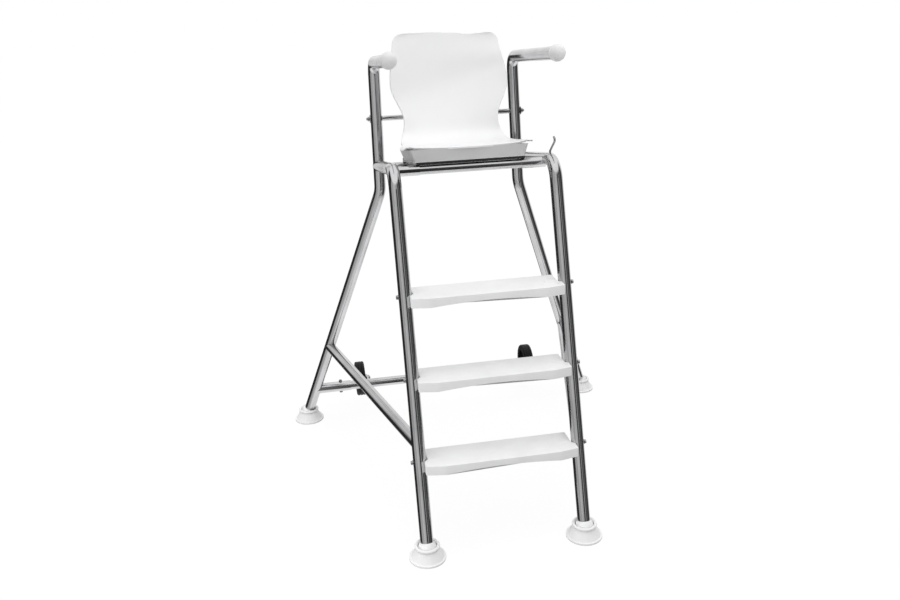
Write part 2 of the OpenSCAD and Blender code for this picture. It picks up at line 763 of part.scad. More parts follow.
// bell foot: low rim, straight cone, groove and ring, open above for the ball
module foot_profile() {
  base = foot_d / 2;
  cone_h = ring_at[1] - 8;
  difference() {
    union() {
      square([base, foot_rim - rim_round]);
      square([base - rim_round, foot_rim]);
      translate([base - rim_round, foot_rim - rim_round]) circle(r = rim_round);
      polygon([[0, foot_rim - 1], [base - 5, foot_rim - 1], [ring_at[0] + 1.5, cone_h], [0, cone_h]]);
      square([ring_at[0], ring_at[1]]);
      translate(ring_at) circle(r = ring_r);
    }
    translate([-100, -50]) square([100, 200]);
    translate([0, foot_ball_h]) circle(d = foot_ball_d + 2 * foot_clear);
    translate([-1, foot_ball_h]) square([foot_ball_d / 2 + foot_clear + 1, 60]);
  }
}

module foot(p, side) {
  color("white") placed() mirrored(side) translate([p[0], p[1], 0]) rotate_extrude() foot_profile();
}

// ball on the tube's end, with a shouldered plug inside the tube
module ball(p, dir, side) {
  color("white") placed() mirrored(side) translate(p)
    rotate([0, acos(dir[2]), atan2(dir[1], dir[0])]) rotate_extrude() ball_section();
}

module ball_section() {
  cut = ball_seat - seat_gap;
  difference() {
    circle(d = foot_ball_d);
    translate([-foot_ball_d, -foot_ball_d]) square([foot_ball_d, 2 * foot_ball_d]);
    translate([-1, cut]) square([foot_ball_d, foot_ball_d]);
  }
  translate([0, cut - 2]) square([tube_d / 2 - tube_wall - 0.15, 26]);
}

tread_r = 7;
hub_r = 20;
hub_out = 3;

// wheel section: rounded tread, web and hub, bored for the axle
module wheel_section() {
  difference() {
    union() {
      translate([wheel_d / 2 - 18, -wheel_w / 2 + tread_r]) square([18, wheel_w - 2 * tread_r]);
      translate([wheel_d / 2 - 24, -wheel_w / 2]) square([24 - tread_r, wheel_w]);
      for (s = [-1, 1]) translate([wheel_d / 2 - tread_r, s * (wheel_w / 2 - tread_r)]) circle(r = tread_r);
      translate([0, -4]) square([wheel_d / 2 - 20, 8]);
      translate([0, -wheel_w / 2 - hub_out]) square([hub_r, wheel_w + 2 * hub_out]);
    }
    translate([-1, -100]) square([1 + axle_d / 2 + axle_play, 200]);
    for (s = [-1, 1]) translate([wheel_d / 2, s * wheel_w / 6]) circle(r = 1.6);
  }
}

module wheel(side) {
  color("#181818") placed() mirrored(side) translate([wheel_x, wheel_axis_y, wheel_z]) rotate([0, 90, 0]) {
    rotate_extrude() wheel_section();
    for (k = [0:7]) rotate(45 * k + 22.5) for (s = [0, 1]) mirror([0, 0, s])
      translate([hub_r - 1, -1.75, 3]) cube([wheel_d / 2 - hub_r - 21, 3.5, wheel_w / 2 - 6]);
  }
}

bracket_x = wheel_x - wheel_w / 2 - hub_out - 1 - bracket_t;

// axle pin: head outside, shank through wheel and bracket
module axle(side) {
  out = wheel_x + wheel_w / 2 + hub_out + 1;
  color("dimgray") placed() mirrored(side) translate([0, wheel_axis_y, wheel_z]) rotate([0, 90, 0]) {
    translate([0, 0, bracket_x - 14]) cylinder(h = out - bracket_x + 15, d = axle_d);
    translate([0, 0, out]) cylinder(h = 5, d = axle_d + 10);
    translate([0, 0, bracket_x - seat_gap - 9]) hex_head(axle_d + 8, 9);
  }
}

// flat bracket from the lower bar back to the axle
module wheel_bracket(side) {
  y0 = leg_at(low_bar_h)[1];
  l = norm([wheel_back, wheel_drop]);
  color("silver") placed() mirrored(side) difference() {
    translate([bracket_x, y0, low_bar_h]) rotate([-atan2(wheel_drop, wheel_back), 0, 0]) rotate([90, 0, 90])
      linear_extrude(bracket_t) union() {
        circle(d = low_bar_d + 16);
        translate([l, 0]) circle(d = 34);
        polygon([[0, -25], [l, -15], [l, 15], [0, 25]]);
      }
    translate([bracket_x - 1, y0, low_bar_h]) rotate([0, 90, 0])
      cylinder(h = bracket_t + 2, d = low_bar_d + 2 * seat_gap);
    translate([bracket_x - 1, wheel_axis_y, wheel_z]) rotate([0, 90, 0])
      cylinder(h = bracket_t + 2, d = axle_d + 0.3);
  }
}

hook_back = 52;
hook_sunk = 1.4;
hook_base = side_at(corner_y + hook_back) + [0, 0, tube_d / 2 / cos(seat_frame_tilt) - hook_sunk];

module hook_hole() {
  translate(hook_base - [0, 0, 20]) cylinder(h = 60, d = hook_d + 0.6);
}

// wire hook from the right side tube: upright foot in its hole, shank leaning forward, curl at the end
hook_lean = 52;
hook_foot = 6;
hook_end = 80;

module towel_hook() {
  run = hook_reach - hook_curl_r * (1 - cos(hook_lean));
  shank = run / sin(hook_lean);
  color("dimgray") placed() translate(hook_base) {
    translate([0, 0, -hook_foot]) cylinder(h = 2 * hook_foot, d = hook_d);
    translate([0, 0, hook_foot]) sphere(d = hook_d + swell);
    translate([0, 0, hook_foot]) rotate([hook_lean, 0, 0]) rotate([0, 0, 90]) translate([0, 0, shank])
      bent_bar(shank, 2, hook_curl_r, hook_lean + hook_end, hook_d);
  }
}

up_dir = unit([0, lean_t, 1]);
leg_dir = unit(leg_top - leg_end);
front_foot = [stile_gauge / 2, foot_y, 0];

stile(-1);  // left_stile
stile(1);  // right_stile
post(-1);  // left_post
post(1);  // right_post
leg(-1);  // left_leg
leg(1);  // right_leg
brace(-1);  // left_brace
brace(1);  // right_brace
top_stub(-1, front_y, front_cross_z);  // front_stub_left
top_stub(1, front_y, front_cross_z);  // front_stub_right
top_stub(-1, rear_y, rear_cross_z);  // rear_stub_left
top_stub(1, rear_y, rear_cross_z);  // rear_stub_right
low_stub(-1);  // low_stub_left
low_stub(1);  // low_stub_right
top_bar(front_y, front_cross_z);  // front_cross_tube
top_bar(rear_y, rear_cross_z);  // rear_cross_tube
lower_bar();
cross_bolts();
tie_rod();
tie_sleeve();
tie_nuts();
step_tread(2);  // step_top_tread
step_tread(1);  // step_middle_tread
step_tread(0);  // step_bottom_tread
step_bolts();
seat_shell();
seat_tray();
seat_rail(-1);  // seat_rail_left
seat_rail(1);  // seat_rail_right
seat_bar(front_y, front_cross_z);  // seat_front_bar
seat_bar(rear_y, rear_cross_z);  // seat_rear_bar
seat_bolts();
knob(-1);  // left_knob
knob(1);  // right_knob
foot(front_foot, -1);  // front_left_foot
foot(front_foot, 1);  // front_right_foot
foot(leg_end, -1);  // rear_left_foot
foot(leg_end, 1);  // rear_right_foot
ball(stile_at(foot_ball_h), up_dir, -1);  // front_left_ball
ball(stile_at(foot_ball_h), up_dir, 1);  // front_right_ball
ball(leg_end, leg_dir, -1);  // rear_left_ball
ball(leg_end, leg_dir, 1);  // rear_right_ball
wheel(-1);  // left_wheel
wheel(1);  // right_wheel
axle(-1);  // left_axle
axle(1);  // right_axle
wheel_bracket(-1);  // left_wheel_bracket
wheel_bracket(1);  // right_wheel_bracket
towel_hook();
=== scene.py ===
import math

import bpy
from bpy.props import FloatProperty, FloatVectorProperty, PointerProperty
from mathutils import Matrix, Vector


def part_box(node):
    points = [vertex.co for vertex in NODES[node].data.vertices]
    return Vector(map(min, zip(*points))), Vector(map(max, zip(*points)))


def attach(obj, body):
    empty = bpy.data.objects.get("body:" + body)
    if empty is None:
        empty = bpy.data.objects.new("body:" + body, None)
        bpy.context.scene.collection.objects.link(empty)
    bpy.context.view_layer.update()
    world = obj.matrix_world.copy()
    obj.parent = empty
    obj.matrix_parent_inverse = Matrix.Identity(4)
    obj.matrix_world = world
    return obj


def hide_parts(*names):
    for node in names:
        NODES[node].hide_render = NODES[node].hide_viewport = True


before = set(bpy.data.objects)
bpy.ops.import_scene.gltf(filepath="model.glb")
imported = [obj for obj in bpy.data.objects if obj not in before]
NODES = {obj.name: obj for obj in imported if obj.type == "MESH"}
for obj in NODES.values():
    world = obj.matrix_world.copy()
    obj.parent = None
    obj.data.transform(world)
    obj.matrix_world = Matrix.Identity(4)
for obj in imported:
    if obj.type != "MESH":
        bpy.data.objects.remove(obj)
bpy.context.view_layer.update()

bl_info = {
    "name": "Lifeguard Chair",
    "version": (1, 0, 0),
    "blender": (4, 5, 0),
    "location": "View3D > Sidebar > Chair",
    "description": "Finishes and moulded pieces of a tall steel chair with a ladder front",
    "category": "Object",
}

# a straight tube has one direction, and the place of its bend is out of reach
NO_BEND = 9.0
ACROSS = ((1.0, 0.0, 0.0), (1.0, 0.0, 0.0), 2, NO_BEND)

# tubes that share a run: a label, their names, the directions before and beyond a bend,
# and the axis (1 y, 2 z) and place of the bend
RUNS = (
    ("stile", ("left_stile", "right_stile"), (0.0, 0.304, 0.953), (0.0, 0.987, -0.158), 1, -0.195),
    ("post", ("left_post", "right_post"), (0.0, 0.108, 0.994), (0.0, -0.997, 0.080), 2, 1.478),
    ("leg_left", ("left_leg",), (-0.320, 0.210, -0.924), (0.0, 0.108, 0.994), 2, 1.04),
    ("leg_right", ("right_leg",), (0.320, 0.210, -0.924), (0.0, 0.108, 0.994), 2, 1.04),
    ("brace_left", ("left_brace",), (-0.262, 0.965, 0.0), (-0.262, 0.965, 0.0), 2, NO_BEND),
    ("brace_right", ("right_brace",), (0.262, 0.965, 0.0), (0.262, 0.965, 0.0), 2, NO_BEND),
    ("cross", (
        "front_stub_left", "front_stub_right", "rear_stub_left", "rear_stub_right", "low_stub_left",
        "low_stub_right", "tie_sleeve"), *ACROSS),
    ("bracket", ("left_wheel_bracket", "right_wheel_bracket"), (0.0, 1.0, 0.0), (0.0, 1.0, 0.0), 2, NO_BEND),
)
BARS = ("front_cross_tube", "rear_cross_tube", "lower_bar")
FASTENERS = (
    "cross_bolts", "tie_rod", "tie_nuts", "step_bolts", "seat_bolts", "left_axle",
    "right_axle", "towel_hook",
)
TREADS = ("step_top_tread", "step_middle_tread", "step_bottom_tread")
KNOBS = ("left_knob", "right_knob")
FEET = ("front_left_foot", "front_right_foot", "rear_left_foot", "rear_right_foot")
BALLS = ("front_left_ball", "front_right_ball", "rear_left_ball", "rear_right_ball")
SEAT_FRAME = ("seat_rail_left", "seat_rail_right", "seat_front_bar", "seat_rear_bar")
WHEELS = ("left_wheel", "right_wheel")

# sockets of a Mix node that is set to vectors
VECTOR_A, VECTOR_B, VECTOR_RESULT = 4, 5, 1

# painted shade: the knobs take the seat's colour, darkened by this share
KNOB_PAINTED_SHADE = 0.88

# places across the back and heights of its wavy top edge, against the back's height
TOP_EDGE = (
    (-0.230, -0.008), (-0.120, -0.0010), (-0.044, 0.0009), (0.022, -0.0024), (0.095, -0.0105),
    (0.160, -0.009), (0.230, -0.009))

# treads: the bolts' line behind the front edge and below the top, the lean of the stiles in degrees,
# the radius of the notch round a stile, and how far the stile's middle lies outside the end
BOLT_BACK, BOLT_DOWN = 0.056, 0.013
STILE_LEAN = 17.7
NOTCH_RADIUS, STILE_OUT = 0.023, 0.013

# tray: its shift to the side, corner radius and wall, how far its foot lies inside the solid's side,
# the flare of its rim, and the rise of the rim at the front corners
TRAY_SHIFT, TRAY_ROUND, TRAY_WALL = -0.003, 0.006, 0.0018
TRAY_INSIDE, TRAY_FLARE, TRAY_CORNER_RISE = 0.0045, 0.0125, 0.0025

# the sky that matt surfaces see: its level at the horizon and its rise overhead
SKY_LEVEL, SKY_RISE = 0.56, 0.66
# what steel mirrors from far above and far below, and what the camera sees behind the chair
ENDS = (1.1, 1.1, 1.1)
WHITE = (1.0, 1.0, 1.0)

# floor: its glow to the camera, and the share of the glow against the lit floor with its shadow
FLOOR_GLOW, GLOW_SHARE = 1.14, 0.8

# lamps: name, place, target, size, spread in degrees, share of the lamp power
LAMPS = (
    ("soft_box_top", (0.4, -0.6, 5.5), (0.0, 0.0, 0.8), 3.0, 180.0, 2.7),
    ("soft_box_right", (2.4, -1.6, 1.9), (0.1, 0.0, 1.5), 0.9, 40.0, 0.075),
    ("soft_box_left", (-2.6, -1.4, 0.5), (0.0, 0.0, 0.5), 1.6, 90.0, 0.35),
)
# camera: width of the sensor in millimetres, and how far it sees in metres
SENSOR_WIDTH, VIEW_END = 36.0, 200.0


# small helpers for meshes and nodes

def object_mode():
    """Leave edit mode and select nothing."""
    if bpy.context.mode != "OBJECT":
        bpy.ops.object.mode_set(mode="OBJECT")
    bpy.ops.object.select_all(action="DESELECT")


def make_active(obj):
    """Select one object alone and make it active."""
    object_mode()
    obj.select_set(True)
    bpy.context.view_layer.objects.active = obj


def settle(obj):
    """Put a piece's place into its mesh, so its object sits at the origin."""
    make_active(obj)
    bpy.ops.object.transform_apply(location=True, rotation=True, scale=True)


def add_modifier(obj, kind, **values):
    """Add a modifier with the given values and apply it."""
    make_active(obj)
    modifier = obj.modifiers.new(kind.title(), kind)
    for key, value in values.items():
        setattr(modifier, key, value)
    bpy.ops.object.modifier_apply(modifier=modifier.name)


def smooth(obj, degrees):
    """Smooth shading with sharp edges above an angle."""
    make_active(obj)
    bpy.ops.object.shade_smooth_by_angle(angle=math.radians(degrees))


def even_normals(obj):
    """Merge doubles and turn all faces outwards."""
    make_active(obj)
    bpy.ops.object.mode_set(mode="EDIT")
    bpy.ops.mesh.select_all(action="SELECT")
    bpy.ops.mesh.remove_doubles(threshold=0.00002)
    bpy.ops.mesh.normals_make_consistent(inside=False)
    bpy.ops.object.mode_set(mode="OBJECT")


def place_selected(obj, old, new):
    """Move the selected vertices from one ring's points to the next ring's."""
    bpy.ops.object.mode_set(mode="OBJECT")
    for vertex in obj.data.vertices:
        if vertex.select:
            index = min(range(len(old)), key=lambda k: (old[k] - vertex.co).length_squared)
            vertex.co = new[index]
    bpy.ops.object.mode_set(mode="EDIT")


def loft(name, rings):
    """Draw one face around the first ring and extrude it through the others; the last ring is closed."""
    object_mode()
    bpy.ops.mesh.primitive_circle_add(vertices=len(rings[0]), fill_type="NGON")
    obj = bpy.context.active_object
    obj.name = name
    for vertex, point in zip(obj.data.vertices, rings[0]):
        vertex.co = point
    bpy.ops.object.mode_set(mode="EDIT")
    for before, ring in zip(rings, rings[1:]):
        bpy.ops.mesh.extrude_region_move()
        place_selected(obj, before, ring)
    object_mode()
    settle(obj)
    return obj


def inset_ring(outline, amount):
    """Move each point of a closed plan outline inwards by the same distance from both its sides."""
    moved = []
    for index, point in enumerate(outline):
        before, after = outline[index - 1], outline[(index + 1) % len(outline)]
        back = (point - before).normalized()
        on = (after - point).normalized()
        inward = Vector((-(back.y + on.y), back.x + on.x)).normalized()
        # at sharp corners the move is limited to twice the amount
        reach = amount / max(0.5, inward.dot(Vector((-back.y, back.x))))
        moved.append(point + inward * reach)
    return moved


def round_corner(before, corner, after, radius, steps):
    """Points of a fillet at a corner of a plan outline."""
    back = (before - corner).normalized()
    on = (after - corner).normalized()
    half = back.angle(on) / 2
    reach = radius / math.tan(half)
    centre = corner + (back + on).normalized() * (radius / math.sin(half))
    first = corner + back * reach - centre
    turn = first.angle_signed(corner + on * reach - centre)
    return [centre + Matrix.Rotation(-turn * k / steps, 2) @ first for k in range(steps + 1)]


def ease(low, high, share):
    """Smooth step from one value to another."""
    k = min(max(share, 0.0), 1.0)
    return low + (high - low) * k * k * (3 - 2 * k)


def dress(obj, material):
    """Give an object one material."""
    obj.data.materials.clear()
    obj.data.materials.append(material)


def dress_nodes(finishes):
    """Give each group of the frame's pieces its material."""
    for names, material in finishes:
        for name in names:
            dress(NODES[name], material)


def add_node(tree, kind, x, y, operation=None, **inputs):
    """Add a shader node at a place, and set its operation and named inputs."""
    node = tree.nodes.new(kind)
    node.location = (x, y)
    if operation:
        node.operation = operation
    for key, value in inputs.items():
        node.inputs[key.replace("_", " ")].default_value = value
    return node


def new_group(name, sockets_in, sockets_out):
    """Make a shader node group with float or vector sockets."""
    tree = bpy.data.node_groups.new(name, "ShaderNodeTree")
    for label, kind, value in sockets_in:
        socket = tree.interface.new_socket(label, in_out="INPUT", socket_type=kind)
        if value is not None:
            socket.default_value = value
    for label, kind in sockets_out:
        tree.interface.new_socket(label, in_out="OUTPUT", socket_type=kind)
    return tree, add_node(tree, "NodeGroupInput", -900, 0), add_node(tree, "NodeGroupOutput", 500, 0)


def streaks_group():
    """Long faint marks along a given direction, as drawing and polishing leave them: a mask and a height."""
    found = bpy.data.node_groups.get("polish_streaks")
    if found:
        return found
    tree, start, end = new_group(
        "polish_streaks",
        [("Vector", "NodeSocketVector", None), ("Axis", "NodeSocketVector", (0.0, 0.0, 1.0)),
         ("Fineness", "NodeSocketFloat", 400.0), ("Length", "NodeSocketFloat", 6.0)],
        [("Mask", "NodeSocketFloat"), ("Height", "NodeSocketFloat")],
    )
    link = tree.links.new
    # the part along the axis is scaled by the length, the part across it by the fineness
    along = add_node(tree, "ShaderNodeVectorMath", -700, 200, "PROJECT")
    link(start.outputs["Vector"], along.inputs[0])
    link(start.outputs["Axis"], along.inputs[1])
    across = add_node(tree, "ShaderNodeVectorMath", -700, 0, "SUBTRACT")
    link(start.outputs["Vector"], across.inputs[0])
    link(along.outputs["Vector"], across.inputs[1])
    long = add_node(tree, "ShaderNodeVectorMath", -500, 200, "SCALE")
    link(along.outputs["Vector"], long.inputs[0])
    link(start.outputs["Length"], long.inputs["Scale"])
    wide = add_node(tree, "ShaderNodeVectorMath", -500, 0, "SCALE")
    link(across.outputs["Vector"], wide.inputs[0])
    link(start.outputs["Fineness"], wide.inputs["Scale"])
    stretch = add_node(tree, "ShaderNodeVectorMath", -400, 100, "ADD")
    link(long.outputs["Vector"], stretch.inputs[0])
    link(wide.outputs["Vector"], stretch.inputs[1])
    fine = add_node(tree, "ShaderNodeTexNoise", -200, 100, Scale=1.0, Detail=4.0, Roughness=0.6)
    link(stretch.outputs["Vector"], fine.inputs["Vector"])
    cloud = add_node(tree, "ShaderNodeTexNoise", -200, -200, Scale=9.0, Detail=3.0, Roughness=0.5)
    link(start.outputs["Vector"], cloud.inputs["Vector"])
    blend = add_node(tree, "ShaderNodeMath", 0, 0, "MULTIPLY")
    link(fine.outputs["Fac"], blend.inputs[0])
    link(cloud.outputs["Fac"], blend.inputs[1])
    curve = add_node(tree, "ShaderNodeMapRange", 200, 0, From_Min=0.15, From_Max=0.38)
    link(blend.outputs[0], curve.inputs["Value"])
    link(curve.outputs["Result"], end.inputs["Mask"])
    link(fine.outputs["Fac"], end.inputs["Height"])
    return tree


def grain_group():
    """Fine pebble grain of a moulded surface, with a broad cloudy mask for wear."""
    found = bpy.data.node_groups.get("moulded_grain")
    if found:
        return found
    tree, start, end = new_group(
        "moulded_grain",
        [("Vector", "NodeSocketVector", None), ("Grain", "NodeSocketFloat", 1400.0),
         ("Cloud", "NodeSocketFloat", 14.0)],
        [("Wear", "NodeSocketFloat"), ("Height", "NodeSocketFloat")],
    )
    link = tree.links.new
    pebble = add_node(tree, "ShaderNodeTexVoronoi", -500, 200)
    pebble.feature = "SMOOTH_F1"
    pebble.inputs["Smoothness"].default_value = 0.6
    link(start.outputs["Vector"], pebble.inputs["Vector"])
    link(start.outputs["Grain"], pebble.inputs["Scale"])
    fine = add_node(tree, "ShaderNodeTexNoise", -500, -100, Detail=5.0, Roughness=0.65)
    link(start.outputs["Vector"], fine.inputs["Vector"])
    link(start.outputs["Cloud"], fine.inputs["Scale"])
    curve = add_node(tree, "ShaderNodeMapRange", -200, -100, From_Min=0.35, From_Max=0.7)
    link(fine.outputs["Fac"], curve.inputs["Value"])
    link(pebble.outputs["Distance"], end.inputs["Height"])
    link(curve.outputs["Result"], end.inputs["Wear"])
    return tree


def base_material(name, colour, metallic, roughness):
    """A Principled material with Object coordinates ready to use."""
    material = bpy.data.materials.new(name)
    material.use_nodes = True
    tree = material.node_tree
    shader = tree.nodes["Principled BSDF"]
    shader.inputs["Base Color"].default_value = (*colour, 1.0)
    shader.inputs["Metallic"].default_value = metallic
    shader.inputs["Roughness"].default_value = roughness
    place = add_node(tree, "ShaderNodeTexCoord", -1100, 0)
    return material, tree, shader, place


def add_effect(tree, group, place, **values):
    """Place a shared effect on Object coordinates, with its own values."""
    effect = add_node(tree, "ShaderNodeGroup", -800, 0)
    effect.node_tree = group
    tree.links.new(place.outputs["Object"], effect.inputs["Vector"])
    for key, value in values.items():
        effect.inputs[key].default_value = value
    return effect


def vary(tree, source, low, high, target):
    """Let a mask drive a plain value between two limits."""
    spread = add_node(tree, "ShaderNodeMapRange", -400, 0, To_Min=low, To_Max=high)
    tree.links.new(source, spread.inputs["Value"])
    tree.links.new(spread.outputs["Result"], target)


def mix_colours(tree, x, y, factor, first, second):
    """Mix two colours, each a plain value or a socket, and return the result's socket."""
    mix = add_node(tree, "ShaderNodeMix", x, y)
    mix.data_type = "RGBA"
    tree.links.new(factor, mix.inputs["Factor"])
    for key, colour in (("A", first), ("B", second)):
        if isinstance(colour, tuple):
            mix.inputs[key].default_value = (*colour, 1.0)
        else:
            tree.links.new(colour, mix.inputs[key])
    return mix.outputs["Result"]


def tint(tree, source, first, second, target):
    """Let a mask drive a colour between two colours."""
    tree.links.new(mix_colours(tree, -400, 250, source, first, second), target)


def raise_bumps(tree, source, shader, strength, depth):
    """Feed a height to the shader's normal."""
    bump = add_node(tree, "ShaderNodeBump", -250, -350, Strength=strength, Distance=depth)
    tree.links.new(source, bump.inputs["Height"])
    tree.links.new(bump.outputs["Normal"], shader.inputs["Normal"])


def run_axis(tree, place, low, high, side, limit):
    """Direction of a tube with one bend, by the side of the bend a point is on."""
    parts = add_node(tree, "ShaderNodeSeparateXYZ", -1100, 400)
    tree.links.new(place.outputs["Object"], parts.inputs[0])
    beyond = add_node(tree, "ShaderNodeMath", -950, 400, "GREATER_THAN")
    beyond.inputs[1].default_value = limit
    tree.links.new(parts.outputs[side], beyond.inputs[0])
    pick = add_node(tree, "ShaderNodeMix", -950, 250)
    pick.data_type = "VECTOR"
    tree.links.new(beyond.outputs[0], pick.inputs[0])
    pick.inputs[VECTOR_A].default_value = low
    pick.inputs[VECTOR_B].default_value = high
    return pick.outputs[VECTOR_RESULT]


def steel_material(name, colour, roughness, spread, run=None, fineness=230.0, length=4.0, worn=0.78):
    """Steel with streaks along a tube's run, rougher by the spread and darkened to the share worn."""
    material, tree, shader, place = base_material(name, colour, 1.0, roughness)
    marks = add_effect(tree, streaks_group(), place, Fineness=fineness, Length=length)
    if run:
        tree.links.new(run_axis(tree, place, *run), marks.inputs["Axis"])
    vary(tree, marks.outputs["Mask"], roughness, roughness + spread, shader.inputs["Roughness"])
    tint(tree, marks.outputs["Mask"], colour, tuple(worn * c for c in colour), shader.inputs["Base Color"])
    raise_bumps(tree, marks.outputs["Height"], shader, strength=0.35, depth=0.00002)
    return material


def moulded_material(name, colour, roughness, grain, depth, wear=0.95):
    """Moulded plastic with a fine grain and faint wear."""
    material, tree, shader, place = base_material(name, colour, 0.0, roughness)
    marks = add_effect(tree, grain_group(), place, Grain=grain)
    vary(tree, marks.outputs["Wear"], roughness, roughness + 0.1, shader.inputs["Roughness"])
    worn = tuple(wear * c for c in colour)
    tint(tree, marks.outputs["Wear"], colour, worn, shader.inputs["Base Color"])
    raise_bumps(tree, marks.outputs["Height"], shader, strength=0.4, depth=depth)
    return material


# settings

class ChairSteelSettings(bpy.types.PropertyGroup):
    """Finish of the steel tubes and fasteners."""
    tube_colour: FloatVectorProperty(
        name="Tube colour", description="Colour of the polished tubes", subtype="COLOR",
        size=3, min=0.0, max=1.0, default=(0.62, 0.62, 0.63))
    bar_colour: FloatVectorProperty(
        name="Bar colour", description="Colour of the thinner cross tubes", subtype="COLOR",
        size=3, min=0.0, max=1.0, default=(0.60, 0.60, 0.61))
    bolt_colour: FloatVectorProperty(
        name="Fastener colour", description="Colour of bolts, nuts and the hook", subtype="COLOR",
        size=3, min=0.0, max=1.0, default=(0.42, 0.42, 0.43))
    roughness: FloatProperty(
        name="Polish", description="Roughness of the polished tubes", min=0.02, max=0.5, default=0.11)


class ChairPlasticSettings(bpy.types.PropertyGroup):
    """Colours of the moulded pieces."""
    seat_colour: FloatVectorProperty(
        name="Seat colour", description="Colour of the seat shell", subtype="COLOR",
        size=3, min=0.0, max=1.0, default=(0.82, 0.82, 0.825))
    tread_colour: FloatVectorProperty(
        name="Tread colour", description="Colour of the treads", subtype="COLOR",
        size=3, min=0.0, max=1.0, default=(0.85, 0.85, 0.855))
    foot_colour: FloatVectorProperty(
        name="Foot colour", description="Colour of the feet and balls", subtype="COLOR",
        size=3, min=0.0, max=1.0, default=(0.88, 0.88, 0.88))
    # painted shade: the tray is a grey plastic, darkened further to stand in for the shade under the pan's
    # lip
    tray_grey_and_shade: FloatVectorProperty(
        name="Tray colour", description="Colour of the tray under the pan", subtype="COLOR",
        size=3, min=0.0, max=1.0, default=(0.55, 0.55, 0.555))


class ChairSeatSettings(bpy.types.PropertyGroup):
    """Sizes of the moulded seat shell."""
    lip_width: FloatProperty(
        name="Lip width", description="Width of the front lip", unit="LENGTH", default=0.457)
    waist_width: FloatProperty(
        name="Waist width", description="Width between pan and back", unit="LENGTH", default=0.347)
    back_width: FloatProperty(
        name="Back width", description="Widest part of the back", unit="LENGTH", default=0.430)
    top_width: FloatProperty(
        name="Top width", description="Width of the back at its top corners", unit="LENGTH", default=0.386)
    knee_flare: FloatProperty(
        name="Knee flare", description="Growth of the half width from the waist to the pan",
        unit="LENGTH", default=0.022)
    pan_depth: FloatProperty(
        name="Pan depth", description="Front lip to the bend into the back", unit="LENGTH", default=0.288)
    lip_bow: FloatProperty(
        name="Lip bow", description="Setback of the lip's ends from its middle", unit="LENGTH", default=0.054)
    bend_radius: FloatProperty(
        name="Bend radius", description="Bend between pan and back", unit="LENGTH", default=0.078)
    back_height: FloatProperty(
        name="Back height", description="Height of the top of the back", unit="LENGTH", default=1.6044)
    pan_slope: FloatProperty(
        name="Pan slope", description="Fall of the pan towards the back", subtype="ANGLE", default=0.1442)
    back_lean: FloatProperty(
        name="Back lean", description="Lean of the back from upright", subtype="ANGLE", default=0.2234)
    wall: FloatProperty(
        name="Wall", description="Thickness of the shell", unit="LENGTH", default=0.006)
    hollow: FloatProperty(
        name="Hollow", description="Depth of the hollow across the back", unit="LENGTH", default=0.040)


class ChairTreadSettings(bpy.types.PropertyGroup):
    """Sizes of the moulded treads."""
    block: FloatProperty(
        name="End block", description="Width of an end block, crease to end", unit="LENGTH", default=0.062)
    taper: FloatProperty(
        name="Taper", description="Setback of a block's outer edge", unit="LENGTH", default=0.012)
    arch: FloatProperty(
        name="Arch", description="Rise of the arch under the skirts", unit="LENGTH", default=0.010)
    nose: FloatProperty(
        name="Nose", description="Reach of the front edge ahead of the nominal depth",
        unit="LENGTH", default=0.005)
    sink: FloatProperty(
        name="Sink", description="How far the top lies below its nominal height",
        unit="LENGTH", default=0.004)
    edge: FloatProperty(
        name="Edge", description="Radius of the top edges", unit="LENGTH", default=0.0022)
    wall: FloatProperty(
        name="Wall", description="Thickness of the moulding", unit="LENGTH", default=0.004)


class ChairStageSettings(bpy.types.PropertyGroup):
    """Camera, floor and light."""
    lens: FloatProperty(
        name="Lens", description="Focal length on a 36 mm sensor, in millimetres",
        min=20.0, max=100.0, default=34.08)
    camera_place: FloatVectorProperty(
        name="Camera place", description="Where the camera stands", subtype="TRANSLATION", unit="LENGTH",
        size=3, default=(-0.5714, -2.9117, 1.7458))
    camera_yaw: FloatProperty(
        name="Camera turn", description="Turn of the camera to the right", subtype="ANGLE", default=0.173)
    camera_pitch: FloatProperty(
        name="Camera tilt", description="Tilt of the camera downwards", subtype="ANGLE", default=0.348)
    camera_roll: FloatProperty(
        name="Camera roll", description="Roll of the camera", subtype="ANGLE", default=-0.034)
    floor_size: FloatProperty(
        name="Floor size", description="Side of the floor", unit="LENGTH", min=2.0, default=60.0)
    lamp_power: FloatProperty(
        name="Lamp power", description="Power that each soft box takes a share of, in watts",
        min=0.0, default=18.0)


# operators

class CHAIR_OT_steel(bpy.types.Operator):
    """Polish the tubes, bars and fasteners"""
    bl_idname = "chair.steel"
    bl_label = "Steel"

    def execute(self, context):
        look = context.scene.chair_steel
        bar = steel_material(
            "satin_bar", tuple(look.bar_colour), roughness=look.roughness + 0.03, spread=0.08, run=ACROSS)
        bolt = steel_material(
            "fastener_steel", tuple(look.bolt_colour), roughness=0.28, spread=0.12,
            fineness=900.0, length=900.0, worn=0.9)
        finished = [(BARS, bar), (FASTENERS, bolt)]
        for label, names, *run in RUNS:
            tube = steel_material(
                "polished_" + label, tuple(look.tube_colour), look.roughness, spread=0.08, run=run)
            finished.append((names, tube))
        dress_nodes(finished)
        return {"FINISHED"}


class CHAIR_OT_mouldings(bpy.types.Operator):
    """Finish knobs, feet and balls in moulded plastic"""
    bl_idname = "chair.mouldings"
    bl_label = "Mouldings"

    def execute(self, context):
        look = context.scene.chair_plastic
        # the knobs' colour is the seat's colour with painted shade
        knob_shaded_colour = tuple(KNOB_PAINTED_SHADE * c for c in look.seat_colour)
        knob = moulded_material("knob_moulding", knob_shaded_colour, 0.36, grain=1800.0, depth=0.00004)
        foot = moulded_material("foot_moulding", tuple(look.foot_colour), 0.38, grain=1600.0, depth=0.00005)
        dress_nodes(((KNOBS, knob), (FEET + BALLS, foot)))
        return {"FINISHED"}


